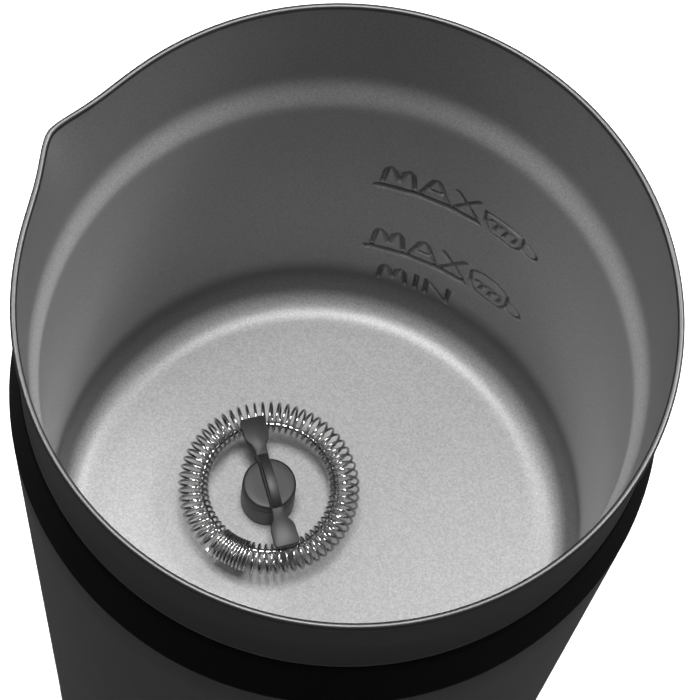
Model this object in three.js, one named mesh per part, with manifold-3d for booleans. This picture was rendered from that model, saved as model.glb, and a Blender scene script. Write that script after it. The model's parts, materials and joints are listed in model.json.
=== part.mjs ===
// A cordless milk frother: a coated pot with a pouring spout in a tapered housing, a coil whisk
// driven through the pot's floor by magnets, and a round base with a centre connector.
// Millimetres, +Z up. The origin is under the middle of the base, where the feet stand.
// The spout points along -X, the start button faces -Y, and the whisk's axis stands off towards the spout.
import * as THREE from 'three';
import { mergeVertices } from 'three/addons/utils/BufferGeometryUtils.js';
import Module from 'manifold-3d';

const wasm = await Module();
wasm.setup();

// ---- Driving sizes ----
const rimRadius = 49;            // outside of the pot's lip
const potDepth = 98.5;           // lip to the pot's floor
const compartmentHeight = 70.9;  // jug's underside to the pot's underside
const baseHeight = 20;           // feet to the jug's underside

// ---- Pot ----
const potSheet = 0.6;
const lipWidth = 1;
const lipHeight = 1.4;
const lipRound = 0.2;
const upperWallDraw = 1.3;       // how much the wall above the bead narrows
const beadTop = 21.3;            // below the rim
const beadDrop = 7.2;
const beadStep = 1.6;            // how far the bead steps in
const ledgeDepth = 3;            // the pot's outer step, hidden under the shoulder
const lowerWallDraw = 1.1;
const floorFillet = 4.5;
const shoulderHeight = 21.6;     // rim to the edge above the dark band
const shoulderFlare = 0.55;
const shoulderEdge = 0.3;
const spoutReach = 2.84;
const spoutHalfAngle = 7;        // degrees
const spoutSharpness = 1.6;
const spoutHeight = 24;

// ---- Collar and housing ----
const bandHeight = 12.5;
const bandFlare = 1.7;
const seamGap = 0.3;
const housingWall = 1.6;
const housingDraw = 6.56;        // radius lost from its top to its foot
const spigotDepth = 5;
const collarLip = 0.3;           // the collar's wall where it meets the shoulder
const collarWedge = 3.6;         // depth of that thin wall
const sealThickness = 0.8;
const sealHeight = 3;

// ---- Whisk ----
const whiskOffset = 9;           // from the pot's axis towards the spout
const whiskRingHeight = 6.5;     // ring's plane above the pot's floor
const coilRingRadius = 12.6;
const coilRadius = 2.6;
const coilWire = 0.45;
const coilTurns = 70;
const tightTurns = 10;
const tightAngle = 25;           // degrees that the tight turns take
const tightStart = 260;          // degrees
const coilEndGap = 1.2;          // degrees between the coil's ends
const hoopRadius = 11.3;
const hoopWire = 0.85;
const hubRadius = 4.45;
const hubHeight = 8.3;
const hubLift = 0.4;             // above the pot's floor
const hubWall = 0.9;
const hubRoof = 2.2;
const hubSocketDepth = 1;        // bush's socket in the roof
const hubRound = 0.3;
const pinRadius = 1.1;
const pinHeight = 5;
const pinFoot = 0.6;
const pinRound = 0.4;
const bushWall = 0.7;
const armAngle = 136.5;          // degrees
const armThickness = 0.9;
const armWidth = 2;
const armReach = 11.6;
const spadeWidth = 4.2;
const spadeLength = 3.2;
const spadeFlare = 1.6;          // length over which an arm widens to its spade
const archWidth = 1.6;
const archHeight = 3;
const archThickness = 1;
const archOverhang = 0.6;        // beyond the hub
const archShoulder = 0.8;        // how square the arch is

// ---- Heater and drive ----
const carrierRadius = 11;
const carrierThickness = 5;
const carrierGap = 1.5;          // under the pot's floor
const magnetRadius = 3;
const magnetHeight = 3;
const magnetPitchRadius = 6.2;
const magnetAngles = [0, 180];
const heaterThickness = 2.5;
const heaterClearance = 2.5;     // round the magnet carrier
const elementThickness = 5.6;    // or less, where the ring it lies in is narrow
const elementGapAngle = 40;      // degrees left open between the element's ends
const elementDrop = 2;           // element to the motor's plate
const postRadius = 2.5;
const plateThickness = 1.5;
const motorRadius = 12;
const motorHeight = 25;
const motorWall = 0.8;
const motorRoof = 2;
const motorBossRadius = 3.6;
const motorBossRise = 0.5;       // above the motor's plate
const endCapThickness = 2;
const shaftInset = 0.5;          // above the motor's foot
const shaftGrip = 2.5;           // into the magnet carrier
const armatureLift = 5;          // above the motor's foot
const shaftRadius = 1;
const armatureRadius = 9;
const armatureHeight = 12;
const sensorRadius = 2.5;
const cutoutRadius = 4.5;
const sensorHeight = 6;
const sensorSetback = 3;         // beyond the magnet carrier's clearance
const sensorSide = 4;
const cutoutAngle = -45;         // degrees
const cutoutSetback = 1;         // inside the heater plate

// ---- Electronics and button ----
const coverThickness = 2;
const pillarRadius = 3;
const boardThickness = 1.6;
const boardHeight = 16;          // above the jug's underside
const postAngles = [90, 210, 330];
const pegAngles = [30, 150, 270];
const pegRadius = 2;
const pegInset = 3.4;            // board's edge to a peg
const screwHead = 2.3;
const screwHeadHeight = 1.2;
const screwShank = 1.1;
const coverScrewLength = 10;
const coverScrewHole = 14;
const plateScrewHole = 8;
const boardScrewHead = 1.8;
const boardScrewHeadHeight = 1;
const boardScrewShank = 0.8;
const boardScrewLength = 5;
const boardScrewHole = 7;
const relayWidth = 15;
const relayDepth = 12;
const relayHeight = 11;
const relayPlace = [0.6, -0.24];      // shares of the board's radius
const capacitorRadius = 4;
const capacitorHeight = 12;
const capacitorPlace = [-0.3, 0.5];
const buttonHeight = 32;         // above the jug's underside
const buttonRadius = 7.5;
const buttonTravel = 1;
const bezelWall = 1.2;
const bezelFlange = 1.5;
const bezelProud = 1;
const bezelReach = 3;            // sleeve's length inside the housing
const buttonProud = 0.5;         // beyond the bezel
const buttonDish = 0.3;
const buttonRim = 1.2;
const buttonRound = 0.9;
const buttonFlange = 0.8;
const buttonFlangeThickness = 1.3;
const stemRadius = 1.7;
const stemLength = 1.5;
const plungerRadius = 1;
const plungerLength = 3.2;
const plungerSlack = 0.7;
const switchSize = 7;
const switchDepth = 4.4;
const switchRear = 1;            // wall behind the plunger
const switchBoardWidth = 18;
const switchBoardHeight = 22;
const springCoils = 4;
const springRadius = 3.4;
const springWire = 0.4;

// ---- Connector and base ----
const towerRadius = 11.5;
const towerRise = 8;             // above the jug's underside
const towerWall = 1.7;
const centringBush = 1.1;
const socketWall = 1.8;
const socketRoof = 2;
const socketHeadroom = 3;        // above the tower
const towerFlange = 2;
const towerFloor = 3;
const towerRound = 0.8;
const contactInset = 2;          // ring's top under the tower's
const contactPinInset = 1.5;
const sleeveLift = 1;            // above the jug's underside
const ringRadius = 6.4;
const pinContactRadius = 1.6;
const contactWall = 0.8;
const baseWall = 2;
const baseFlare = -0.9;
const baseGap = 0.6;             // between base and jug
const baseRound = 1;
const baseRimHeight = 1.5;
const baseScrewAngles = [90, 210, 330];
const baseScrewSpread = 12.5;    // beyond the tower
const baseScrewLength = 6;
const footRadius = 4;
const footHeight = 1.7;
const footRound = 0.5;
const footInset = 9.1;           // from the base's edge
const footAngles = [45, 135, 225, 315];
const glandRadius = 4;
const glandFlange = 1.6;
const glandWall = 0.8;
const glandFlangeThickness = 1.2;
const glandInset = 2.2;          // inside the base's wall

// ---- Fits ----
const gap = 0.3;
const runningGap = 0.15;

// ---- Faceting ----
const wide = 48;
const middle = 24;
const small = 12;

// ---- Levels and radii worked out from the sizes ----
const jugBottom = baseHeight;
const potUnder = jugBottom + compartmentHeight;
const floorTop = potUnder + potSheet;
const rimTop = floorTop + potDepth;
const mouthRadius = rimRadius - lipWidth;
const aboveBead = mouthRadius - upperWallDraw;
const belowBead = aboveBead - beadStep;
const wallFoot = belowBead - lowerWallDraw;
const floorRadius = wallFoot - floorFillet;
const bandTopRadius = rimRadius - lipWidth;
const bandTop = rimTop - shoulderHeight - seamGap;
const bandBottom = bandTop - bandHeight;
const housingTop = bandBottom - seamGap;
const housingTopRadius = bandTopRadius + bandFlare;
const housingTaper = housingDraw / (housingTop - jugBottom);
const housingRadiusAt = (z) => housingTopRadius - housingTaper * (housingTop - z);
const whiskX = -whiskOffset;
const ringZ = floorTop + whiskRingHeight;
const hubBottom = floorTop + hubLift;
const hubTop = hubBottom + hubHeight;
const armBottom = hubTop + gap;
const carrierTop = potUnder - carrierGap;
const carrierBottom = carrierTop - carrierThickness;
const heaterTop = potUnder - gap;
const heaterInner = whiskOffset + carrierRadius + heaterClearance;
const postPitch = floorRadius - postRadius - gap;
const heaterOuter = postPitch - postRadius - gap;
const elementPitch = (heaterInner + heaterOuter) / 2;
const elementRadius = Math.min(elementThickness, heaterOuter - heaterInner) / 2;
const elementZ = heaterTop - heaterThickness - gap - elementRadius;
const plateTop = elementZ - elementRadius - elementDrop;
const plateBottom = plateTop - plateThickness;
const motorTop = plateBottom - gap;
const motorBottom = motorTop - motorHeight;
const shaftBottom = motorBottom + shaftInset;
const shaftTop = carrierBottom + shaftGrip;
const pillarTop = plateBottom - gap;
const boardRadius = postPitch - pillarRadius - gap;
const pegPitch = boardRadius - pegRadius - pegInset;
const cutoutPitch = heaterInner - cutoutRadius - cutoutSetback;
const buttonZ = jugBottom + buttonHeight;
const buttonBoreRadius = buttonRadius + gap;
const sleeveRadius = buttonBoreRadius + bezelWall;
const buttonHousingRadius = housingRadiusAt(buttonZ);
const buttonFace = -(buttonHousingRadius + bezelProud);
const sleeveEnd = -(buttonHousingRadius - housingWall - bezelReach);
const flangeFront = sleeveEnd + gap;
const flangeBack = flangeFront + buttonFlangeThickness;
const stemEnd = flangeBack + stemLength;
const switchFront = stemEnd + buttonTravel + plungerSlack;
const boardZ = jugBottom + boardHeight;
const boardTop = boardZ + boardThickness + gap;
const towerTop = jugBottom + towerRise;
const bushOuter = towerRadius + gap + centringBush;
const socketInner = bushOuter + gap;
const socketOuter = socketInner + socketWall;
const socketTop = towerTop + socketHeadroom + socketRoof;
const baseTop = jugBottom - baseGap;
const baseTopRadius = housingRadiusAt(jugBottom);
const baseBottomRadius = baseTopRadius + baseFlare;
const baseLow = footHeight + gap;
const basePlateTop = baseLow + baseWall;
const baseInner = baseBottomRadius - baseWall - gap;
const baseScrewPitch = towerRadius + baseScrewSpread;
const footPitchRadius = baseTopRadius - footInset;
const towerFoot = basePlateTop + gap;
const contactFoot = towerFoot + towerFloor + gap;
const glandZ = basePlateTop + gap + glandRadius + glandFlange + gap;

const root = new THREE.Group();

// ---- Materials ----
const finish = (color, roughness, metalness) =>
  () => new THREE.MeshStandardMaterial({ color, roughness, metalness });
const paint = finish(0x3a3a3a, 0.45, 0.4);
const coating = finish(0x9a9a9a, 0.55, 0.5);
const blackPlastic = finish(0x0b0b0b, 0.4, 0);
const whiskPlastic = finish(0x3c3c3c, 0.5, 0);
const steel = finish(0xc8c8c8, 0.2, 1);
const brass = finish(0xb99a4b, 0.3, 1);
const aluminium = finish(0xb0b0b0, 0.4, 1);
const rubber = finish(0x1c1c1c, 0.8, 0);
const board = finish(0x1e5a32, 0.5, 0);
const magnet = finish(0x55555a, 0.3, 0.8);

// ---- Helpers ----

function onCircle(radius, degrees) {
  const angle = THREE.MathUtils.degToRad(degrees);
  return [radius * Math.cos(angle), radius * Math.sin(angle)];
}

// Welds a geometry's shared corners and makes its faces point out.
function welded(geometry) {
  const bare = geometry.clone();
  bare.deleteAttribute('normal');
  bare.deleteAttribute('uv');
  const merged = mergeVertices(bare, 1e-4);
  return signedVolume(merged) < 0 ? flipped(merged) : merged;
}

function signedVolume(geometry) {
  const position = geometry.attributes.position;
  const corner = [new THREE.Vector3(), new THREE.Vector3(), new THREE.Vector3()];
  let sum = 0;
  for (let i = 0; i < geometry.index.count; i += 3) {
    corner.forEach((c, k) => c.fromBufferAttribute(position, geometry.index.getX(i + k)));
    sum += corner[0].dot(corner[1].clone().cross(corner[2])) / 6;
  }
  return sum;
}

function flipped(geometry) {
  const order = Array.from(geometry.index.array);
  for (let i = 0; i < order.length; i += 3) [order[i], order[i + 1]] = [order[i + 1], order[i]];
  geometry.setIndex(order);
  return geometry;
}

// A turned piece about Z from [radius, height] points. A ring's points close on themselves.
function turned(points, segments = middle) {
  const closed = points.every(([r]) => r > 1e-6) ? [...points, points[0]] : points;
  const outline = closed.map(([r, z]) => new THREE.Vector2(r, z));
  return welded(new THREE.LatheGeometry(outline, segments).rotateX(Math.PI / 2));
}

function disc(radius, low, high, segments = middle) {
  return turned([[0, low], [radius, low], [radius, high], [0, high]], segments);
}

function ring(inner, outer, low, high, segments = middle) {
  return turned([[inner, low], [outer, low], [outer, high], [inner, high]], segments);
}

// Points of a round stretch of a profile, from one angle to another in degrees.
function arc(x, y, radius, from, to, steps) {
  return Array.from({ length: steps + 1 }, (_, i) => {
    const [dx, dy] = onCircle(radius, from + ((to - from) * i) / steps);
    return [x + dx, y + dy];
  });
}

function block(width, depth, height) {
  return welded(new THREE.BoxGeometry(width, depth, height));
}

// A pan-head screw pointing up, its head's underside at z = 0.
function screwShape(headRadius, headHeight, shankRadius, length) {
  return turned([
    [0, -headHeight], [headRadius - headHeight / 3, -headHeight], [headRadius, -headHeight / 2],
    [headRadius, 0], [shankRadius, 0], [shankRadius, length], [0, length],
  ], small);
}

function toSolid(geometry) {
  const position = geometry.attributes.position.array;
  const mesh = new wasm.Mesh({
    numProp: 3,
    vertProperties: Float32Array.from(position),
    triVerts: Uint32Array.from(geometry.index.array),
  });
  return new wasm.Manifold(mesh);
}

function toGeometry(solid) {
  const mesh = solid.getMesh();
  const geometry = new THREE.BufferGeometry();
  geometry.setAttribute('position', new THREE.BufferAttribute(Float32Array.from(mesh.vertProperties), 3));
  geometry.setIndex(Array.from(mesh.triVerts));
  return geometry;
}

const joined = (first, ...rest) =>
  toGeometry(rest.reduce((whole, g) => whole.add(toSolid(g)), toSolid(first)));
const cut = (first, ...rest) =>
  toGeometry(rest.reduce((whole, g) => whole.subtract(toSolid(g)), toSolid(first)));

// Lays a piece turned about Z along +Y, so that its z becomes y.
const alongY = (geometry) => geometry.rotateX(-Math.PI / 2);

// Upright holes or pins of one size on a circle round the middle.
const pattern = (angles, pitch, radius, low, high) => angles.map((angle) => {
  const [x, y] = onCircle(pitch, angle);
  return disc(radius, low, high, small).translate(x, y, 0);
});

function place(name, geometry, material, x = 0, y = 0, z = 0) {
  const mesh = new THREE.Mesh(geometry, material());
  mesh.name = name;
  mesh.position.set(x, y, z);
  root.add(mesh);
  return mesh;
}

// ---- Pot ----

// How far the spout stands out at a direction and a distance below the rim.
function spoutBulge(x, y, depth) {
  const off = Math.abs(THREE.MathUtils.radToDeg(Math.atan2(y, -x)));
  const across = Math.exp(-Math.pow(off / spoutHalfAngle, spoutSharpness));
  const down = Math.max(0, 1 - depth / spoutHeight);
  return spoutReach * across * down * down;
}

function withSpout(geometry) {
  const position = geometry.attributes.position;
  for (let i = 0; i < position.count; i++) {
    const [x, y, z] = [position.getX(i), position.getY(i), position.getZ(i)];
    const radius = Math.hypot(x, y);
    if (radius < floorRadius) continue;
    const scale = 1 + spoutBulge(x, y, rimTop - z) / radius;
    position.setXY(i, x * scale, y * scale);
  }
  return geometry;
}

// The bead's soft step, as [radius, depth] from its top to its foot.
function beadCurve(steps) {
  return Array.from({ length: steps + 1 }, (_, i) => {
    const t = i / steps;
    return [aboveBead - beadStep * t * t * (3 - 2 * t), beadTop + beadDrop * t];
  });
}

function innerPot() {
  const beadFoot = beadTop + beadDrop;
  const filletDepth = potDepth - floorFillet;
  const inside = [
    [mouthRadius, lipHeight / 3], ...beadCurve(3),
    ...arc(floorRadius, filletDepth, floorFillet, 0, 90, 3), [0, potDepth],
  ];
  const outside = [
    [0, potDepth + potSheet],
    ...arc(floorRadius, filletDepth, floorFillet + potSheet, 90, 0, 2),
    [belowBead + potSheet, beadFoot],
    [aboveBead - beadStep / 3 + potSheet, shoulderHeight + ledgeDepth],
    [aboveBead + potSheet, shoulderHeight + shoulderEdge / 2],
    [bandTopRadius, shoulderHeight],
    [bandTopRadius, shoulderHeight - shoulderEdge],
    [bandTopRadius - shoulderFlare, shoulderHeight * 2 / 3],
    [mouthRadius + potSheet, lipHeight + lipRound],
    [rimRadius, lipHeight], [rimRadius, lipRound], [rimRadius - lipRound, 0],
    [mouthRadius + lipRound, 0],
  ];
  const profile = [...inside, ...outside].map(([r, depth]) => [r, rimTop - depth]);
  const opening = profile.slice(0, inside.length).reverse();
  const shell = profile.slice(inside.length).reverse();
  return withSpout(turned([...opening, ...shell], wide));
}

// ---- Collar, seal and housing ----

function collarBand() {
  const spigotOuter = housingTopRadius - housingWall - gap;
  const innerTop = bandTopRadius - collarLip;
  const innerFoot = belowBead + potSheet + sealThickness + 2 * gap;
  return turned([
    [innerTop, bandTop], [bandTopRadius, bandTop], [housingTopRadius, bandBottom],
    [spigotOuter, bandBottom], [spigotOuter, bandBottom - spigotDepth],
    [innerFoot, bandBottom - spigotDepth], [innerFoot, bandTop - collarWedge],
  ], wide);
}

function rimSeal() {
  const inner = belowBead + potSheet + gap;
  return ring(inner, inner + sealThickness, bandBottom - sealHeight, bandBottom, wide);
}

function housingBlank() {
  return turned([
    [housingTopRadius - housingWall, housingTop], [housingTopRadius, housingTop],
    [housingRadiusAt(jugBottom), jugBottom], [housingRadiusAt(jugBottom) - housingWall, jugBottom],
  ], wide);
}

const buttonHole = () => alongY(disc(sleeveRadius + gap, -2 * rimRadius, 0)).translate(0, 0, buttonZ);

const housing = () => cut(housingBlank(), buttonHole());

// ---- Button and switch ----

function buttonBezel() {
  const across = (radius, beyond) =>
    alongY(disc(radius, buttonFace - beyond, sleeveEnd + beyond)).translate(0, 0, buttonZ);
  const flange = across(sleeveRadius + bezelFlange, 0);
  const clear = turned([
    [0, housingTop], [housingTopRadius + gap / 2, housingTop],
    [housingRadiusAt(jugBottom) + gap / 2, jugBottom], [0, jugBottom],
  ], wide);
  const sleeve = across(sleeveRadius, 0);
  const bore = across(buttonBoreRadius, 1);
  return cut(joined(cut(flange, clear), sleeve), bore);
}

function startButton() {
  const face = buttonFace - buttonProud;
  return alongY(turned([
    [0, face + buttonDish], [buttonRadius - buttonRim, face], [buttonRadius, face + buttonRound],
    [buttonRadius, flangeFront], [buttonBoreRadius + buttonFlange, flangeFront],
    [buttonBoreRadius + buttonFlange, flangeBack], [stemRadius, flangeBack], [stemRadius, stemEnd],
    [0, stemEnd],
  ]));
}

function buttonSpring() {
  const length = switchFront - flangeBack - 2 * gap - springWire;
  class Coil extends THREE.Curve {
    getPoint(t, target = new THREE.Vector3()) {
      const a = t * 2 * Math.PI * springCoils;
      return target.set(springRadius * Math.cos(a), t * length, springRadius * Math.sin(a));
    }
  }
  return tube(new Coil(), springWire / 2, springCoils * 10, 4);
}

function switchBody() {
  const body = block(switchSize, switchDepth, switchSize).translate(0, switchDepth / 2, 0);
  const bore = alongY(disc(plungerRadius + gap, -1, switchDepth - switchRear, small));
  return cut(body, bore);
}

// ---- Tubes and coils ----

// A round bar along a curve, with flat ends.
function tube(curve, radius, steps, sides) {
  const section = new THREE.Shape();
  for (let i = 0; i < sides; i++) {
    const a = (2 * Math.PI * i) / sides;
    if (i === 0) section.moveTo(radius, 0);
    else section.lineTo(radius * Math.cos(a), radius * Math.sin(a));
  }
  section.closePath();
  return welded(new THREE.ExtrudeGeometry(section, { steps, extrudePath: curve, bevelEnabled: false }));
}

// The whisk's spring: an evenly wound coil bent into a ring, with its ends hooked together in tight turns.
function whiskSpring() {
  const mean = coilRadius - coilWire / 2;
  const open = 360 - tightAngle - coilEndGap;
  class RingCoil extends THREE.Curve {
    getPoint(t, target = new THREE.Vector3()) {
      const turn = t * coilTurns;
      const degrees = turn < tightTurns
        ? (turn / tightTurns) * tightAngle
        : tightAngle + ((turn - tightTurns) / (coilTurns - tightTurns)) * open;
      const a = THREE.MathUtils.degToRad(tightStart + degrees);
      const b = turn * 2 * Math.PI;
      const r = coilRingRadius + mean * Math.cos(b);
      return target.set(r * Math.cos(a), r * Math.sin(a), mean * Math.sin(b));
    }
  }
  const curve = new RingCoil();
  curve.arcLengthDivisions = 4000;
  return tube(curve, coilWire / 2, coilTurns * 7, 4);
}

const whiskHoop = () => welded(new THREE.TorusGeometry(hoopRadius, hoopWire / 2, 6, 40));

// ---- Whisk ----

function whiskHub() {
  const inside = hubRadius - hubWall;
  const socket = hubTop - hubRoof - hubSocketDepth;
  const bushSeat = pinRadius + runningGap + bushWall + gap;
  return turned([
    [0, hubTop], [hubRadius - hubRound, hubTop], [hubRadius, hubTop - hubRound], [hubRadius, hubBottom],
    [inside, hubBottom], [inside, socket], [bushSeat, socket], [bushSeat, hubTop - hubRoof],
    [0, hubTop - hubRoof],
  ]);
}

function whiskPin() {
  const low = floorTop + gap / 2;
  const top = floorTop + pinHeight;
  return turned([
    [0, low], [pinRadius + pinFoot, low], [pinRadius, floorTop + gap], [pinRadius, top - pinRound],
    [pinRadius - pinRound, top], [0, top],
  ], small);
}

function hubMagnet() {
  const inner = pinRadius + runningGap + bushWall + 2 * gap;
  return ring(inner, hubRadius - hubWall - gap, hubBottom + gap,
    hubTop - hubRoof - hubSocketDepth - gap);
}

function whiskBush() {
  const bore = pinRadius + runningGap;
  return ring(bore, bore + bushWall, hubBottom + gap, hubTop - hubRoof - hubSocketDepth + gap, small);
}

// The two arms with their spade ends and the arch that joins them over the hub.
function whiskFrame() {
  const arm = new THREE.Shape();
  const neck = armReach - spadeLength;
  const outline = [
    [-armReach, -spadeWidth / 2], [-neck, -spadeWidth / 2], [spadeFlare - neck, -armWidth / 2],
    [neck - spadeFlare, -armWidth / 2], [neck, -spadeWidth / 2], [armReach, -spadeWidth / 2],
    [armReach, spadeWidth / 2], [neck, spadeWidth / 2], [neck - spadeFlare, armWidth / 2],
    [spadeFlare - neck, armWidth / 2], [-neck, spadeWidth / 2], [-armReach, spadeWidth / 2],
  ];
  outline.forEach(([x, y], i) => (i ? arm.lineTo(x, y) : arm.moveTo(x, y)));
  arm.closePath();
  const bar = welded(new THREE.ExtrudeGeometry(arm, { depth: armThickness, bevelEnabled: false }));
  const outerHalf = hubRadius + archOverhang;
  const innerHalf = outerHalf - archThickness - armThickness / 2;
  const innerHeight = archHeight - archThickness;
  const arch = new THREE.Shape();
  arch.moveTo(-outerHalf, 0);
  arch.quadraticCurveTo(-outerHalf * archShoulder, archHeight, 0, archHeight);
  arch.quadraticCurveTo(outerHalf * archShoulder, archHeight, outerHalf, 0);
  arch.lineTo(innerHalf, 0);
  arch.quadraticCurveTo(innerHalf * archShoulder, innerHeight, 0, innerHeight);
  arch.quadraticCurveTo(-innerHalf * archShoulder, innerHeight, -innerHalf, 0);
  arch.closePath();
  const bow = new THREE.ExtrudeGeometry(arch, { depth: archWidth, bevelEnabled: false, curveSegments: 6 });
  bow.translate(0, 0, -archWidth / 2).rotateX(Math.PI / 2).translate(0, 0, armThickness / 2);
  const raised = welded(bow);
  return joined(bar, raised).rotateZ(THREE.MathUtils.degToRad(armAngle));
}

// ---- Heater and drive ----

const heaterPlate = () => ring(heaterInner, heaterOuter, heaterTop - heaterThickness, heaterTop, wide);

function heatingElement() {
  const open = THREE.MathUtils.degToRad(elementGapAngle);
  class Arc extends THREE.Curve {
    getPoint(t, target = new THREE.Vector3()) {
      const a = open / 2 + t * (2 * Math.PI - open);
      return target.set(elementPitch * Math.cos(a), elementPitch * Math.sin(a), elementZ);
    }
  }
  return tube(new Arc(), elementRadius, 32, 8);
}

function motorPlate() {
  const radius = postPitch + postRadius;
  const plate = disc(radius, plateBottom, plateTop, wide);
  const hole = disc(motorBossRadius + gap, plateBottom - 1, plateTop + 1, small).translate(whiskX, 0, 0);
  return cut(plate, hole, ...pattern(postAngles, postPitch, screwShank + gap, plateBottom - 1, plateTop + 1));
}

function motorCan() {
  const bossTop = plateTop + motorBossRise;
  const bore = shaftRadius + runningGap;
  const inside = motorRadius - motorWall;
  return turned([
    [bore, bossTop], [motorBossRadius, bossTop], [motorBossRadius, motorTop], [motorRadius, motorTop],
    [motorRadius, motorBottom], [inside, motorBottom], [inside, motorTop - motorRoof],
    [bore, motorTop - motorRoof],
  ]);
}

function motorEndCap() {
  const bore = shaftRadius + runningGap;
  return ring(bore, motorRadius - motorWall - gap, motorBottom, motorBottom + endCapThickness);
}

function magnetCarrier() {
  const blank = disc(carrierRadius, carrierBottom, carrierTop);
  const shaftBore = disc(shaftRadius + gap / 3, carrierBottom - 1, shaftTop + gap, small);
  const pocketRadius = magnetRadius + runningGap;
  const pocketFloor = carrierTop - magnetHeight - runningGap;
  const pockets = pattern(magnetAngles, magnetPitchRadius, pocketRadius, pocketFloor, carrierTop + 1);
  return cut(blank, shaftBore, ...pockets);
}

// ---- Bottom cover, connector and base ----

function bottomCover() {
  const under = jugBottom - 1;
  const bore = screwShank + runningGap;
  const radius = housingRadiusAt(jugBottom) - housingWall - gap;
  const plate = ring(socketOuter + gap, radius, jugBottom, jugBottom + coverThickness, wide);
  const raised = jugBottom + coverThickness / 2;
  const pillars = pattern(postAngles, postPitch, pillarRadius, raised, pillarTop);
  const pegs = pattern(pegAngles, pegPitch, pegRadius, raised, boardZ - gap);
  const holes = [
    ...pattern(postAngles, postPitch, bore, under, jugBottom + coverScrewHole),
    ...pattern(postAngles, postPitch, screwHead + gap, under, jugBottom + screwHeadHeight + runningGap),
    ...pattern(postAngles, postPitch, bore, pillarTop - plateScrewHole, pillarTop + 1),
    ...pattern(pegAngles, pegPitch, boardScrewShank + runningGap, boardZ - boardScrewHole, boardZ),
  ];
  return cut(joined(plate, ...pillars, ...pegs), ...holes);
}

function controlBoard() {
  const blank = disc(boardRadius, boardZ, boardZ + boardThickness);
  const bore = boardScrewShank + runningGap;
  return cut(blank, ...pattern(pegAngles, pegPitch, bore, boardZ - 1, boardZ + boardThickness + 1));
}

function jugSocket() {
  const roof = socketTop - socketRoof;
  return turned([
    [0, socketTop], [socketOuter, socketTop], [socketOuter, jugBottom + gap], [socketInner, jugBottom + gap],
    [socketInner, roof], [0, roof],
  ]);
}

function baseConnector() {
  const inside = towerRadius - towerWall;
  return turned([
    [0, towerFoot], [towerRadius + towerFlange, towerFoot],
    [towerRadius + towerFlange, towerFoot + towerFlange], [towerRadius, towerFoot + towerFlange],
    [towerRadius, towerTop - towerRound],
    [towerRadius - towerRound, towerTop], [inside, towerTop], [inside, towerFoot + towerFloor],
    [0, towerFoot + towerFloor],
  ]);
}

function baseShell() {
  const hole = towerRadius + gap;
  const inside = baseTopRadius - baseWall;
  const skirt = baseBottomRadius - baseWall;
  const shell = turned([
    [hole, baseTop], [baseTopRadius - baseRound, baseTop], [baseTopRadius, baseTop - baseRound],
    [baseBottomRadius, baseLow + baseRimHeight], [baseBottomRadius - baseRound, baseLow], [skirt, baseLow],
    [skirt, baseLow + baseRimHeight], [inside, baseTop - baseWall - baseRound],
    [inside - baseRound, baseTop - baseWall], [hole, baseTop - baseWall],
  ], wide);
  const notch = alongY(disc(glandRadius + gap, 0, 2 * rimRadius, small)).translate(0, 0, glandZ);
  return cut(shell, notch);
}

function basePlate() {
  const plate = disc(baseInner, baseLow, basePlateTop, wide);
  const under = baseLow - 1;
  return cut(plate,
    ...pattern(baseScrewAngles, baseScrewPitch, screwShank + runningGap, under, basePlateTop + 1),
    ...pattern(baseScrewAngles, baseScrewPitch, screwHead + gap, under, baseLow + screwHeadHeight));
}

function cordGland() {
  const y = baseTopRadius - baseWall - glandInset;
  const length = baseBottomRadius - y - gap;
  const profile = [
    [glandRadius - glandWall, 0], [glandRadius + glandFlange, 0],
    [glandRadius + glandFlange, glandFlangeThickness], [glandRadius, glandFlangeThickness],
    [glandRadius, length], [glandRadius - glandWall, length],
  ];
  return alongY(turned(profile, small)).translate(0, y, glandZ);
}

function foot() {
  return turned([
    [0, 0], [footRadius - footRound, 0], [footRadius, footRound], [footRadius, footHeight], [0, footHeight],
  ], small);
}

// Places numbered copies of a piece on a circle.
function placeRound(name, angles, pitch, make, material, z = 0) {
  angles.forEach((angle, i) => place(`${name}_${i + 1}`, make(), material, ...onCircle(pitch, angle), z));
}

// ---- Assembly: base ----
const contactHalf = contactWall / 2;
place('base_shell', baseShell(), blackPlastic);
place('base_plate', basePlate(), blackPlastic);
place('base_connector', baseConnector(), blackPlastic);
place('base_contact_ring', ring(ringRadius - contactHalf, ringRadius + contactHalf, contactFoot,
  towerTop - contactInset), brass);
place('base_contact_pin', disc(pinContactRadius, contactFoot, towerTop - contactPinInset, small), brass);
placeRound('base_foot', footAngles, footPitchRadius, foot, rubber);
placeRound('base_screw', baseScrewAngles, baseScrewPitch,
  () => screwShape(screwHead, screwHeadHeight - gap, screwShank, baseScrewLength), steel,
  baseLow + screwHeadHeight - gap / 2);
place('cord_gland', cordGland(), rubber);

// ---- Assembly: connector between base and jug ----
place('centring_bush', ring(towerRadius + gap, bushOuter, jugBottom + gap, towerTop), blackPlastic);

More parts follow.
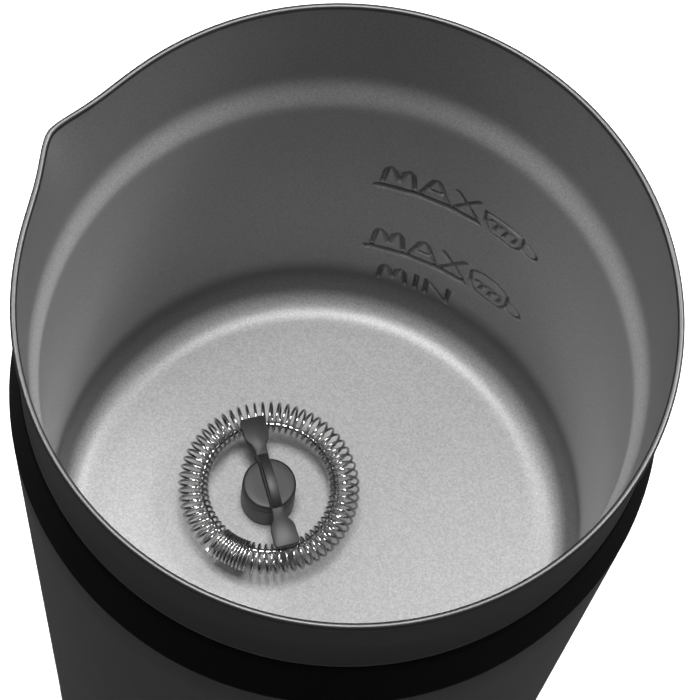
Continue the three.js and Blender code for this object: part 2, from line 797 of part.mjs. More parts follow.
// ---- Assembly: jug ----
const sleeveBottom = jugBottom + sleeveLift;
const sleeveTop = socketTop - socketRoof - gap;
const sleeveInner = ringRadius + contactHalf + gap;
const coreInner = pinContactRadius + gap;
place('inner_pot', innerPot(), coating);
place('collar_band', collarBand(), blackPlastic);
place('rim_seal', rimSeal(), rubber);
place('housing', housing(), paint);
place('bottom_cover', bottomCover(), blackPlastic);
placeRound('cover_screw', postAngles, postPitch,
  () => screwShape(screwHead, screwHeadHeight, screwShank, coverScrewLength), steel,
  jugBottom + screwHeadHeight);
placeRound('plate_post', postAngles, postPitch,
  () => ring(screwShank + runningGap, postRadius, plateTop + gap, potUnder - gap, small), steel);
place('jug_socket', jugSocket(), blackPlastic);
place('socket_sleeve', ring(sleeveInner, sleeveInner + contactWall, sleeveBottom, sleeveTop), brass);
place('socket_core', ring(coreInner, coreInner + contactWall, sleeveBottom, sleeveTop, small), brass);
place('control_board', controlBoard(), board);
placeRound('board_screw', pegAngles, pegPitch,
  () => screwShape(boardScrewHead, boardScrewHeadHeight, boardScrewShank, boardScrewLength).rotateX(Math.PI),
  steel, boardZ + boardThickness + gap / 2);
place('heater_relay', block(relayWidth, relayDepth, relayHeight), blackPlastic,
  ...relayPlace.map((share) => share * boardRadius), boardTop + relayHeight / 2);
place('smoothing_capacitor', disc(capacitorRadius, 0, capacitorHeight, small), rubber,
  ...capacitorPlace.map((share) => share * boardRadius), boardTop);
place('heater_plate', heaterPlate(), aluminium);
place('heating_element', heatingElement(), steel);
place('temperature_sensor', disc(sensorRadius, heaterTop - sensorHeight, heaterTop, small), brass,
  whiskX + carrierRadius + heaterClearance + sensorRadius + sensorSetback, sensorSide);
place('thermal_cutout', disc(cutoutRadius, heaterTop - sensorHeight, heaterTop, small), blackPlastic,
  ...onCircle(cutoutPitch, cutoutAngle));
place('motor_plate', motorPlate(), steel);
place('motor_can', motorCan(), steel, whiskX);
place('motor_end_cap', motorEndCap(), blackPlastic, whiskX);
place('whisk_pin', whiskPin(), steel, whiskX);
place('button_bezel', buttonBezel(), steel);
place('switch_body', switchBody(), blackPlastic, 0, switchFront, buttonZ);
place('switch_board', block(switchBoardWidth, boardThickness, switchBoardHeight), board, 0,
  switchFront + switchDepth + gap + boardThickness / 2, buttonZ);

// ---- Assembly: drive rotor ----
const armatureBottom = motorBottom + armatureLift;
place('motor_shaft', disc(shaftRadius, shaftBottom, shaftTop, small), steel, whiskX);
place('motor_armature', ring(shaftRadius + gap / 3, armatureRadius, armatureBottom,
  armatureBottom + armatureHeight, small), brass, whiskX);
place('magnet_carrier', magnetCarrier(), blackPlastic, whiskX);
magnetAngles.forEach((angle, i) => {
  const [x, y] = onCircle(magnetPitchRadius, angle);
  const piece = disc(magnetRadius, carrierTop - magnetHeight, carrierTop, small);
  place(`drive_magnet_${i + 1}`, piece, magnet, whiskX + x, y);
});

// ---- Assembly: whisk ----
place('whisk_bush', whiskBush(), steel, whiskX);
place('whisk_hub', whiskHub(), whiskPlastic, whiskX);
place('hub_magnet', hubMagnet(), magnet, whiskX);
place('whisk_frame', whiskFrame(), whiskPlastic, whiskX, 0, armBottom);
place('whisk_hoop', whiskHoop(), steel, whiskX, 0, ringZ);
place('whisk_spring', whiskSpring(), steel, whiskX, 0, ringZ);

// ---- Assembly: button ----
place('start_button', startButton(), blackPlastic, 0, 0, buttonZ);
place('button_spring', buttonSpring(), steel, 0, flangeBack + gap + springWire / 2, buttonZ);
place('switch_plunger', alongY(disc(plungerRadius, 0, plungerLength, small)), whiskPlastic, 0,
  stemEnd + gap, buttonZ);

export default root;
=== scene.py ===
"""The looks of a cordless milk frother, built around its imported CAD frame.

Every sub-assembly is a class that holds its sizes, models its pieces and dresses them.
Profiles are written in millimetres and turned into metres when their mesh is made.
"""

import json
import logging
import math
from dataclasses import dataclass, field
from enum import Enum
from typing import Any, Callable, Optional, Sequence, Union

import bmesh
import bpy
import numpy as np
from mathutils import Matrix, Vector

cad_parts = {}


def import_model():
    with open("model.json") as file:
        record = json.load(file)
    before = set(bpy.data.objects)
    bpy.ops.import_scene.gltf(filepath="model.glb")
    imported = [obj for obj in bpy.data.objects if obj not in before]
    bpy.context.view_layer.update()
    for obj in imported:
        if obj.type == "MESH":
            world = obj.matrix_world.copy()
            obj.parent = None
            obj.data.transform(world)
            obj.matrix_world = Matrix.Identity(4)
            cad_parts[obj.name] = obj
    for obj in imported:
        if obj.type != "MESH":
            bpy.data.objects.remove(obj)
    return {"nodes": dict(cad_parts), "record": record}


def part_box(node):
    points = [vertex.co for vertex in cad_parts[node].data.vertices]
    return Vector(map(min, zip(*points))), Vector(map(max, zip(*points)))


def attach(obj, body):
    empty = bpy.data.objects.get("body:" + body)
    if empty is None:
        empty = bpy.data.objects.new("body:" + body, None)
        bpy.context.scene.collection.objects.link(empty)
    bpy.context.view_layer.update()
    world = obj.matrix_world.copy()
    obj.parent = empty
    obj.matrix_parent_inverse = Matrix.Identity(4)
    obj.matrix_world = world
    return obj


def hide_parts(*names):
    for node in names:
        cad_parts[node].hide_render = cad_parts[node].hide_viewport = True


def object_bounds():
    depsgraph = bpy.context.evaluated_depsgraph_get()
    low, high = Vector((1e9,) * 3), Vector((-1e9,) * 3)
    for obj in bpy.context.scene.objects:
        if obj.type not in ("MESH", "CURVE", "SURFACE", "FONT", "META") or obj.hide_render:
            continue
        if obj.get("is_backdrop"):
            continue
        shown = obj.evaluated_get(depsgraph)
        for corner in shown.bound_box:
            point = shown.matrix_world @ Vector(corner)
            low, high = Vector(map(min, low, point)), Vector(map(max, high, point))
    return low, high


log = logging.getLogger("frother")

MM = 0.001
Point = tuple[float, float]
Number = Union[float, "Value"]


# ---------------------------------------------------------------- shader maths


class Value:
    """A number on a shader socket, whose maths is written as a Python expression."""

    def __init__(self, tree: bpy.types.NodeTree, socket: bpy.types.NodeSocket) -> None:
        """Wraps a socket of a node tree."""
        self.tree = tree
        self.socket = socket

    def math(self, operation: str, *terms: Number) -> "Value":
        """Adds one Math node.

        Args:
            operation: The node's operation.
            terms: Its inputs, each a number or a Value.

        Returns:
            The node's result.
        """
        node = self.tree.nodes.new("ShaderNodeMath")
        node.operation = operation
        for slot, term in zip(node.inputs, terms):
            if isinstance(term, Value):
                self.tree.links.new(term.socket, slot)
            else:
                slot.default_value = term
        return Value(self.tree, node.outputs[0])

    def __add__(self, other: Number) -> "Value":
        """Self + other."""
        return self.math("ADD", self, other)

    def __sub__(self, other: Number) -> "Value":
        """Self - other."""
        return self.math("SUBTRACT", self, other)

    def __rsub__(self, other: Number) -> "Value":
        """Other - self."""
        return self.math("SUBTRACT", other, self)

    def __mul__(self, other: Number) -> "Value":
        """Self * other."""
        return self.math("MULTIPLY", self, other)

    def step(self, low: float, high: float) -> "Value":
        """Runs smoothly from 0 at low to 1 at high."""
        node = self.tree.nodes.new("ShaderNodeMapRange")
        node.interpolation_type = "SMOOTHSTEP"
        self.tree.links.new(self.socket, node.inputs["Value"])
        node.inputs["From Min"].default_value = low
        node.inputs["From Max"].default_value = high
        return Value(self.tree, node.outputs["Result"])


class Recipe:
    """A procedural material under construction."""

    def __init__(self, name: str) -> None:
        """Starts a material with one Principled shader."""
        self.material = bpy.data.materials.new(name)
        self.material.use_nodes = True
        self.tree = self.material.node_tree
        self.shader = self.tree.nodes["Principled BSDF"]

    def node(
        self,
        kind: str,
        settings: Optional[dict[str, Any]] = None,
        inputs: Optional[dict[str, Any]] = None,
    ) -> bpy.types.Node:
        """Adds a node.

        Args:
            kind: The node's type.
            settings: Properties set on the node before its sockets.
            inputs: A value, Value or socket for each named input.

        Returns:
            The new node.
        """
        node = self.tree.nodes.new(kind)
        for name, value in (settings or {}).items():
            setattr(node, name, value)
        for name, value in (inputs or {}).items():
            self.feed(node.inputs[name], value)
        return node

    def feed(self, slot: bpy.types.NodeSocket, value: Any) -> None:
        """Links or sets one input socket."""
        if isinstance(value, Value):
            self.tree.links.new(value.socket, slot)
        elif isinstance(value, bpy.types.NodeSocket):
            self.tree.links.new(value, slot)
        else:
            slot.default_value = value

    def where(self, stretch: Sequence[float] = (1, 1, 1)) -> bpy.types.NodeSocket:
        """Object coordinates, stretched along each axis."""
        place = self.node("ShaderNodeTexCoord")
        mapping = self.node(
            "ShaderNodeMapping",
            inputs={"Vector": place.outputs["Object"], "Scale": tuple(stretch)},
        )
        return mapping.outputs["Vector"]

    def noise(
        self, grain: float, detail: float = 2, rough: float = 0.5, stretch: Sequence[float] = (1, 1, 1)
    ) -> Value:
        """Noise whose features are about grain metres across."""
        made = self.node(
            "ShaderNodeTexNoise",
            inputs={
                "Vector": self.where(stretch),
                "Scale": 1 / grain,
                "Detail": detail,
                "Roughness": rough,
            },
        )
        return Value(self.tree, made.outputs["Fac"])

    def cells(self, grain: float) -> Value:
        """Distance from the middle of scattered cells about grain metres across."""
        made = self.node("ShaderNodeTexVoronoi", inputs={"Vector": self.where(), "Scale": 1 / grain})
        return Value(self.tree, made.outputs["Distance"])

    def height(self) -> Value:
        """The point's height above the floor, in metres."""
        place = self.node("ShaderNodeTexCoord")
        split = self.node("ShaderNodeSeparateXYZ", inputs={"Vector": place.outputs["Object"]})
        return Value(self.tree, split.outputs["Z"])

    def blend(self, factor: Value, low: Sequence[float], high: Sequence[float]) -> bpy.types.NodeSocket:
        """A colour between two, by factor."""
        mix = self.tree.nodes.new("ShaderNodeMix")
        mix.data_type = "RGBA"
        self.feed(mix.inputs["Factor"], factor)
        colours = [s for s in mix.inputs if s.type == "RGBA"]
        colours[0].default_value = (*low, 1)
        colours[1].default_value = (*high, 1)
        return next(s for s in mix.outputs if s.type == "RGBA")

    def bump(self, height: Value, depth: float, strength: float = 1.0) -> None:
        """Presses a height pattern, depth metres deep, into the normal."""
        inputs = {"Height": height, "Distance": depth, "Strength": strength}
        made = self.node("ShaderNodeBump", inputs=inputs)
        self.feed(self.shader.inputs["Normal"], made.outputs["Normal"])

    def shade(self, **sockets: Any) -> None:
        """Sets the Principled shader's inputs, with underscores for the spaces in their names."""
        for name, value in sockets.items():
            self.feed(self.shader.inputs[name.replace("_", " ")], value)


def grey(level: float, tint: float = 0.0) -> tuple[float, float, float]:
    """A neutral colour, a little bluer by tint."""
    return (level, level * (1 + tint * 0.5), level * (1 + tint))


# ---------------------------------------------------------------- finishes


@dataclass(frozen=True)
class MouldedPlastic:
    """Plastic with a fine spark-eroded grain.

    Attributes:
        name: The material's name.
        tone: Its grey level.
        gloss: Roughness at the middle of its range.
        grain: Size of the grain in metres.
        depth: Depth of the grain in metres.
        shine: Strength of its gloss.
    """

    name: str
    tone: float
    gloss: float = 0.42
    grain: float = 0.00035
    depth: float = 0.000006
    shine: float = 0.5

    def make(self) -> bpy.types.Material:
        """Builds the material."""
        r = Recipe(self.name)
        cloud = r.noise(0.012, 3)
        fine = r.noise(self.grain, 2)
        r.shade(
            Base_Color=r.blend(cloud, grey(self.tone * 0.9), grey(self.tone * 1.12)),
            Roughness=fine * 0.1 + (self.gloss - 0.05),
            Specular_IOR_Level=self.shine,
        )
        r.bump(fine, self.depth)
        return r.material


@dataclass(frozen=True)
class SatinPaint:
    """Dark metallic paint: fine flakes under a satin coat."""

    name: str
    tone: float
    gloss: float = 0.36
    metal: float = 0.55

    def make(self) -> bpy.types.Material:
        """Builds the material."""
        r = Recipe(self.name)
        flakes = r.cells(0.00028)
        drift = r.noise(0.03, 2)
        peel = r.noise(0.0016, 2)
        r.shade(
            Base_Color=r.blend(flakes + drift * 0.3, grey(self.tone * 1.15), grey(self.tone * 0.85)),
            Roughness=drift * 0.08 + (self.gloss - 0.04),
            Metallic=self.metal,
        )
        r.bump(peel, 0.000004)
        return r.material


@dataclass(frozen=True)
class SpeckledCoating:
    """The pot's hard grey coating, with a fine speckle and a sprayed grain, and with painted shade and a
    painted highlight laid over it by height.

    The heights where the painted shade and the painted highlight begin and end are in metres from the floor
    and from the bead.

    Attributes:
        floor: Height of the pot's floor in metres.
        bead: Height of the bead's middle in metres.
        corner_shade: How much painted shade darkens the corner round the floor.
        wall_shade: How much painted shade darkens the wall towards the bead.
        bead_light: How much a painted highlight lightens the bead.
        mouth_shade: How much painted shade darkens the wall above the bead.
    """

    name: str
    tone: float = 0.27
    gloss: float = 0.42
    metal: float = 0.2
    floor: float = 0.0915
    bead: float = 0.165
    corner_shade: float = 0.62
    wall_shade: float = 0.18
    bead_light: float = 0.45
    mouth_shade: float = 0.72

    def painted_light_and_shade(self, height: Value) -> Value:
        """The tone at a height: painted light and painted shade laid over a coating that is itself of one
        tone.
        """
        # Painted shade darkens the corner round the floor and the wall below the bead, a painted highlight
        # lightens the bead, and painted shade darkens the wall above it.
        corner = height.step(self.floor + 0.0006, self.floor + 0.0026)
        corner -= height.step(self.floor + 0.005, self.floor + 0.013)
        bead = height.step(self.bead - 0.006, self.bead - 0.002)
        above = height.step(self.bead - 0.001, self.bead + 0.006)
        below = height.step(self.floor + 0.03, self.bead - 0.006)
        shaded = 1.0 - corner * self.corner_shade - below * self.wall_shade
        return shaded + bead * self.bead_light - above * self.mouth_shade

    def make(self) -> bpy.types.Material:
        """Builds the material."""
        r = Recipe(self.name)
        grain = r.noise(0.00035, 3, 0.65)
        speck = r.cells(0.0007).step(0.32, 0.12)
        drift = r.noise(0.02, 2)
        mottle = grain.step(0.3, 0.7) * 0.8 + speck * 0.2
        # The painted light and shade by height, times the speckle.
        tone = self.painted_light_and_shade(r.height()) * (mottle * 0.44 + 0.78)
        r.shade(
            Base_Color=r.blend(tone * 0.5, grey(0), grey(self.tone * 2)),
            Roughness=grain * 0.12 + drift * 0.05 + (self.gloss - 0.08),
            Metallic=self.metal,
        )
        r.bump(grain, 0.00002, 0.9)
        return r.material


@dataclass(frozen=True)
class Metal:
    """Bare metal with fine lines along one way, or all round where it is drawn wire."""

    name: str
    colour: tuple[float, float, float]
    gloss: float = 0.2
    stretch: tuple[float, float, float] = (1, 1, 1)
    grain: float = 0.0004
    depth: float = 0.000002

    def make(self) -> bpy.types.Material:
        """Builds the material."""
        r = Recipe(self.name)
        lines = r.noise(self.grain, 2, 0.6, self.stretch)
        cloud = r.noise(0.006, 2)
        dark = tuple(c * 0.85 for c in self.colour)
        r.shade(
            Base_Color=r.blend(cloud, dark, self.colour),
            Roughness=lines * 0.12 + (self.gloss - 0.06),
            Metallic=1.0,
        )
        r.bump(lines, self.depth)
        return r.material


@dataclass(frozen=True)
class CircuitBoard:
    """Green solder mask with faint copper tracks under it."""

    name: str

    def make(self) -> bpy.types.Material:
        """Builds the material."""
        r = Recipe(self.name)
        tracks = r.cells(0.004).step(0.42, 0.46)
        r.shade(Base_Color=r.blend(tracks, (0.012, 0.09, 0.035), (0.02, 0.16, 0.06)), Roughness=0.35)
        r.bump(tracks, 0.00002, 0.5)
        return r.material


class Dress(Enum):
    """The finishes, each made once."""

    HOUSING = SatinPaint("housing_satin_paint", 0.035)
    SHOULDER = SatinPaint("shoulder_satin_paint", 0.024, 0.4)
    COATING = SpeckledCoating("pot_speckled_coating")
    # A darker copy of the coating: painted shade for the pressed marks.
    GROOVE = SpeckledCoating("pot_mark_painted_shade", 0.13, 0.4, 0.3)
    LIP = Metal("lip_edge", grey(0.1), 0.45, (1, 1, 6))
    BAND = MouldedPlastic("band_black", 0.0012, 0.45, shine=0.03)
    BLACK = MouldedPlastic("base_black", 0.012, 0.4)
    WHISK = MouldedPlastic("whisk_dark_plastic", 0.02, 0.45, 0.0003, 0.000004, 0.4)
    WIRE = Metal("bright_wire", grey(0.5), 0.16)
    STEEL = Metal("zinc_steel", grey(0.55), 0.3, (1, 1, 8))
    BRASS = Metal("turned_brass", (0.62, 0.45, 0.18), 0.24, (1, 1, 8))
    ALUMINIUM = Metal("cast_aluminium", grey(0.6), 0.4)
    MAGNET = Metal("nickel_plate", grey(0.42), 0.22)
    RUBBER = MouldedPlastic("foot_rubber", 0.02, 0.75, 0.0005, 0.00002)
    BOARD = CircuitBoard("solder_mask")

    def material(self) -> bpy.types.Material:
        """The finish's material, built when it is first asked for."""
        return bpy.data.materials.get(self.value.name) or self.value.make()


# ---------------------------------------------------------------- modelling


def alone(obj: bpy.types.Object) -> bpy.types.Object:
    """Selects one object and nothing else."""
    bpy.ops.object.select_all(action="DESELECT")
    obj.select_set(True)
    bpy.context.view_layer.objects.active = obj
    return obj


def arc(centre: Point, radius: float, start: float, end: float, steps: int) -> list[Point]:
    """Points of a round stretch of a profile, from start to end in degrees."""
    turns = [math.radians(start + (end - start) * i / steps) for i in range(steps + 1)]
    return [(centre[0] + radius * math.cos(t), centre[1] + radius * math.sin(t)) for t in turns]


def between(a: Point, b: Point, steps: int) -> list[Point]:
    """Points that share a straight stretch of a profile evenly, without its first."""
    run, rise = b[0] - a[0], b[1] - a[1]
    return [(a[0] + run * i / steps, a[1] + rise * i / steps) for i in range(1, steps + 1)]


@dataclass
class Workpiece:
    """A mesh that is being modelled.

    Attributes:
        name: The piece's name.
        obj: Its object, made by one of the start methods.
    """

    name: str
    obj: bpy.types.Object = field(default=None)

    def _adopt(self) -> "Workpiece":
        self.obj = bpy.context.active_object
        self.obj.name = self.name
        self.obj.data.name = self.name
        alone(self.obj)
        return self

    def chain(self, points: Sequence[Sequence[float]], closed: bool) -> "Workpiece":
        """Starts from a line of edges drawn by extruding a single corner.

        Args:
            points: The corners, in metres.
            closed: Whether the last corner joins the first.
        """
        bpy.ops.object.select_all(action="DESELECT")
        bpy.ops.mesh.primitive_plane_add(size=MM, location=(0, 0, 0))
        self._adopt()
        bpy.ops.object.mode_set(mode="EDIT")
        bpy.ops.mesh.select_all(action="SELECT")
        bpy.ops.mesh.merge(type="CENTER")
        bpy.ops.transform.translate(value=points[0])
        last = Vector(points[0])
        for point in points[1:]:
            step = Vector(point) - last
            bpy.ops.mesh.extrude_region_move(TRANSFORM_OT_translate={"value": step})
            last = Vector(point)
        if closed:
            mesh = bmesh.from_edit_mesh(self.obj.data)
            mesh.verts.ensure_lookup_table()
            for v in mesh.verts:
                v.select = v.index in (0, len(mesh.verts) - 1)
            mesh.select_flush(True)
            bpy.ops.mesh.edge_face_add()
        bpy.ops.object.mode_set(mode="OBJECT")
        return self

    def turn(
        self,
        profile: Sequence[Point],
        sweeps: Sequence[tuple[float, int]] = ((360.0, 128),),
        start: float = 0.0,
        axis: Point = (0.0, 0.0),
        closed: bool = True,
    ) -> "Workpiece":
        """Turns a profile about an upright axis.

        Args:
            profile: [radius, height] corners in millimetres.
            sweeps: The angle and the number of steps of each part of the turn.
            start: The direction of the first corner line, in degrees.
            axis: The axis's place in millimetres.
            closed: Whether the profile closes on itself.
        """
        c, s = math.cos(math.radians(start)), math.sin(math.radians(start))
        places = [((axis[0] + r * c) * MM, (axis[1] + r * s) * MM, z * MM) for r, z in profile]
        self.chain(places, closed)
        bpy.ops.object.mode_set(mode="EDIT")
        bpy.ops.mesh.select_all(action="SELECT")
        for angle, steps in sweeps:
            bpy.ops.mesh.spin(
                steps=steps,
                angle=math.radians(angle),
                center=(axis[0] * MM, axis[1] * MM, 0),
                axis=(0, 0, -1),
            )
        self.tidy_edit()
        return self

    def tidy_edit(self) -> "Workpiece":
        """Merges doubled corners and turns the faces outwards, from edit or object mode."""
        bpy.ops.object.mode_set(mode="EDIT")
        bpy.ops.mesh.select_all(action="SELECT")
        bpy.ops.mesh.remove_doubles(threshold=1e-6)
        bpy.ops.mesh.dissolve_degenerate(threshold=1e-7)
        bpy.ops.mesh.normals_make_consistent(inside=False)
        bpy.ops.object.mode_set(mode="OBJECT")
        return self

    def slab(self, outline: Sequence[Sequence[float]], rise: Sequence[float]) -> "Workpiece":
        """Fills a closed flat outline and extrudes it by rise, both in metres."""
        self.chain(outline, True)
        bpy.ops.object.mode_set(mode="EDIT")
        bpy.ops.mesh.select_all(action="SELECT")
        bpy.ops.mesh.edge_face_add()
        bpy.ops.mesh.extrude_region_move(TRANSFORM_OT_translate={"value": rise})
        self.tidy_edit()
        return self

    def shape(self, move: Callable[[np.ndarray], np.ndarray]) -> "Workpiece":
        """Moves the corners by a function of their places in metres."""
        co = np.empty(len(self.obj.data.vertices) * 3)
        self.obj.data.vertices.foreach_get("co", co)
        self.obj.data.vertices.foreach_set("co", move(co.reshape(-1, 3)).ravel())
        self.obj.data.update()
        return self

    def modify(self, kind: str, **settings: Any) -> "Workpiece":
        """Adds a modifier and applies it."""
        alone(self.obj)
        modifier = self.obj.modifiers.new(kind.title(), kind)
        for name, value in settings.items():
            setattr(modifier, name, value)
        bpy.ops.object.modifier_apply(modifier=modifier.name)
        return self

    def bevel(self, width: float, segments: int = 3, angle: float = 40) -> "Workpiece":
        """Rounds the sharp edges by width millimetres."""
        return self.modify(
            "BEVEL",
            width=width * MM,
            segments=segments,
            limit_method="ANGLE",
            angle_limit=math.radians(angle),
        )

    def carve(self, tool: "Workpiece", operation: str = "DIFFERENCE") -> "Workpiece":
        """Cuts or joins another workpiece, which is used up."""
        self.modify("BOOLEAN", object=tool.obj, operation=operation, solver="EXACT")
        bpy.data.objects.remove(tool.obj)
        return self

    def smooth(self, angle: float = 32) -> "Workpiece":
        """Shades smoothly across edges flatter than angle degrees."""
        alone(self.obj)
        bpy.ops.object.shade_smooth_by_angle(angle=math.radians(angle))
        return self

    def copy(self, name: str, turn: float = 0.0) -> "Workpiece":
        """Copies the piece with a mesh of its own, turned about the object's axis by degrees."""
        twin = self.obj.copy()
        twin.data = self.obj.data.copy()
        twin.name = twin.data.name = name
        bpy.context.scene.collection.objects.link(twin)
        twin.data.transform(Matrix.Rotation(math.radians(turn), 4, "Z"))
        return Workpiece(name, twin)

    def finish(self, dress: Dress, body: str, slot: Optional[str], *nodes: str) -> bpy.types.Object:
        """Dresses the piece, sets it on its body and lets it stand for CAD nodes."""
        if not self.obj.data.materials:
            self.obj.data.materials.append(dress.material())
        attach(self.obj, body)
        if nodes:
            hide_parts(*nodes)
        log.info("%s rides on %s", self.obj.name, body)
        return self.obj


def drill(radius: float, steps: int, height: float, way: int) -> Workpiece:
    """A round cutter that starts at the object's axis.

    Args:
        radius: Its radius in millimetres.
        steps: Its number of sides.
        height: The height of its middle in millimetres.
        way: 1 to the back or -1 to the front.

    Returns:
        The cutter, past the object's side.
    """
    reach = 70
    work = Workpiece("drill").turn(
        [(0, 0), (radius, 0), (radius, reach), (0, reach)], ((360, steps),), closed=False
    )
    return work.shape(lambda p: laid_along_y(p, height, way)).tidy_edit()


def laid_along_y(points: np.ndarray, height: float, way: int) -> np.ndarray:
    """Corners turned about Z, laid so that their top faces along Y at a height in millimetres."""
    return np.stack([points[:, 0], way * points[:, 2], points[:, 1] + height * MM], 1)


def wire(
    name: str, points: Sequence[Sequence[float]], thickness: float, closed: bool, sides: int
) -> Workpiece:
    """A round wire along points given in metres.

    Args:
        name: The piece's name.
        points: The centre line.
        thickness: The wire's diameter in millimetres.
        closed: Whether the wire is a ring.
        sides: Corners of its section, a multiple of four.
    """
    bpy.ops.object.select_all(action="DESELECT")
    bpy.ops.curve.primitive_nurbs_path_add(location=(0, 0, 0))
    obj = bpy.context.active_object
    obj.name = name
    curve = obj.data
    curve.splines.clear()
    spline = curve.splines.new("POLY")
    spline.points.add(len(points) - 1)
    for p, place in zip(spline.points, points):
        p.co = (*place, 1)
    spline.use_cyclic_u = closed
    curve.dimensions = "3D"
    curve.twist_mode = "MINIMUM"
    curve.bevel_depth = thickness * MM / 2
    curve.bevel_resolution = sides // 4
    curve.use_fill_caps = not closed
    alone(obj)
    bpy.ops.object.convert(target="MESH")
    work = Workpiece(name, bpy.context.active_object)
    work.obj.data.materials.clear()
    work.tidy_edit()
    return work


# ---------------------------------------------------------------- level marks


@dataclass(frozen=True)
class Stroke:
    """A line pressed into the pot's wall, through points in millimetres across and up."""

    points: tuple[Point, ...]
    width: float = 0.85
    depth: float = 0.55

    def press(self, across: np.ndarray, up: np.ndarray) -> np.ndarray:
        """How deep the stroke is at each place, in millimetres."""
        near = np.full(across.shape, 1e9)
        for (ax, ay), (bx, by) in zip(self.points, self.points[1:]):
            dx, dy = bx - ax, by - ay
            t = np.clip(((across - ax) * dx + (up - ay) * dy) / (dx * dx + dy * dy), 0, 1)
            near = np.minimum(near, np.hypot(across - ax - t * dx, up - ay - t * dy))
        t = np.clip(1.5 - near / (self.width * 0.42), 0, 1)
        return self.depth * t * t * (3 - 2 * t)


def bow(
    centre: Point, wide: float, tall: float, start: float, end: float, steps: int = 8
) -> tuple[Point, ...]:
    """Points of an oval stretch from start to end in degrees."""
    turns = [math.radians(start + (end - start) * i / steps) for i in range(steps + 1)]
    return tuple((centre[0] + wide * math.cos(t), centre[1] + tall * math.sin(t)) for t in turns)


class Glyph(Enum):
    """Letters as strokes in a box one wide and one tall."""

    M = (
        ((0, 0), (0.08, 0.8), (0.2, 1), (0.34, 0.8), (0.5, 0.25), (0.64, 0.8), (0.78, 1), (0.9, 0.8), (1, 0)),
    )
    A = (((0, 0), (0.38, 0.92), (0.5, 1), (0.62, 0.92), (1, 0)), ((0.2, 0.36), (0.8, 0.36)))
    X = (((0.05, 1), (0.95, 0)), ((0.95, 1), (0.05, 0)))
    I = (((0.5, 0), (0.5, 1)),)  # noqa: E741
    N = (((0, 0), (0.02, 1), (0.98, 0.05), (1, 1)),)

    def strokes(self, left: float, foot: float, width: float, height: float) -> list[Stroke]:
        """The letter's strokes in a box of the given place and size, in millimetres."""
        return [Stroke(tuple((left + x * width, foot + y * height) for x, y in line)) for line in self.value]


def cup_strokes(left: float, foot: float, foam: bool) -> list[Stroke]:
    """A cup with a handle and three swirls, with or without a dome of foam above its rim."""
    wide, tall = 7.6, 6.2
    middle, top = left + wide / 2, foot + tall
    lines = [
        ((left, top), (left + 0.1, foot + 2.6), (left + 1.1, foot + 0.5), (left + 2.4, foot)),
        ((left + 2.4, foot), (left + wide - 2.4, foot)),
        ((left + wide - 2.4, foot), (left + wide - 1.1, foot + 0.5), (left + wide - 0.1, foot + 2.6)),
        ((left + wide - 0.1, foot + 2.6), (left + wide, top)),
        bow((left + wide + 1.2, foot + 3.7), 2.0, 1.7, 105, -120),
    ]
    if foam:
        lines.append(bow((middle, top), wide / 2, 2.0, 0, 180))
    else:
        lines.append(((left, top), (left + wide, top)))
    for i in range(3):
        x = left + 1.1 + i * 1.9
        lines.append(bow((x + 0.7, foot + 3.7), 0.75, 0.9, 180, 20, 5))
        lines.append(((x + 1.2, foot + 3.4), (x + 0.8, foot + 1.4)))
    return [Stroke(tuple(line), 0.62, 0.45) for line in lines]


@dataclass
class LevelMarks:
    """The level marks on the far wall: two upper levels with cups, and the lowest level.

    Attributes:
        start: Direction of the marks' left end, in degrees.
        upper: Height of the upper line below the rim.
        lower: Height of the middle line below the rim.
        lowest: Height of the lowest line below the rim.
    """

    start: float = 110.6
    upper: float = 55.3
    lower: float = 79.4
    lowest: float = 92.3
    letter_height: float = 6.2
    letter_lift: float = 1.3
    word_width: float = 17.0

    def word(
        self, text: str, left: float, line: float, widths: Sequence[float], height: float
    ) -> list[Stroke]:
        """A word above its line, its letters as wide as widths say."""
        strokes, x = [], left
        for letter, width in zip(text, widths):
            strokes += Glyph[letter].strokes(x, -line + self.letter_lift, width, height)
            x += width + 1.1
        return strokes

    def strokes(self) -> list[Stroke]:
        """Every stroke of the marks, across from their left end and up from the rim."""
        made = []
        for line, foam in ((self.upper, False), (self.lower, True)):
            made.append(Stroke(((0.0, -line), (self.word_width, -line)), 1.7, 0.7))
            made += self.word("MAX", 0.6, line, (5.4, 4.6, 4.4), self.letter_height)
            made += cup_strokes(self.word_width + 1.4, -line - 0.3, foam)
        made.append(Stroke(((-0.4, -self.lowest), (self.word_width - 0.4, -self.lowest)), 0.6, 0.16))
        made += self.word("MIN", 2.6, self.lowest, (4.8, 1.4, 4.2), 5.4)
        return made

    def press(self, places: np.ndarray, rim: float, radius: float) -> np.ndarray:
        """How deep the marks are at places given in millimetres."""
        turn = np.degrees(np.arctan2(places[:, 1], places[:, 0]))
        across = np.radians(self.start - turn) * radius
        up = places[:, 2] - rim
        deep = np.zeros(len(places))
        for stroke in self.strokes():
            deep = np.maximum(deep, stroke.press(across, up))
        return deep


# ---------------------------------------------------------------- sub-assemblies


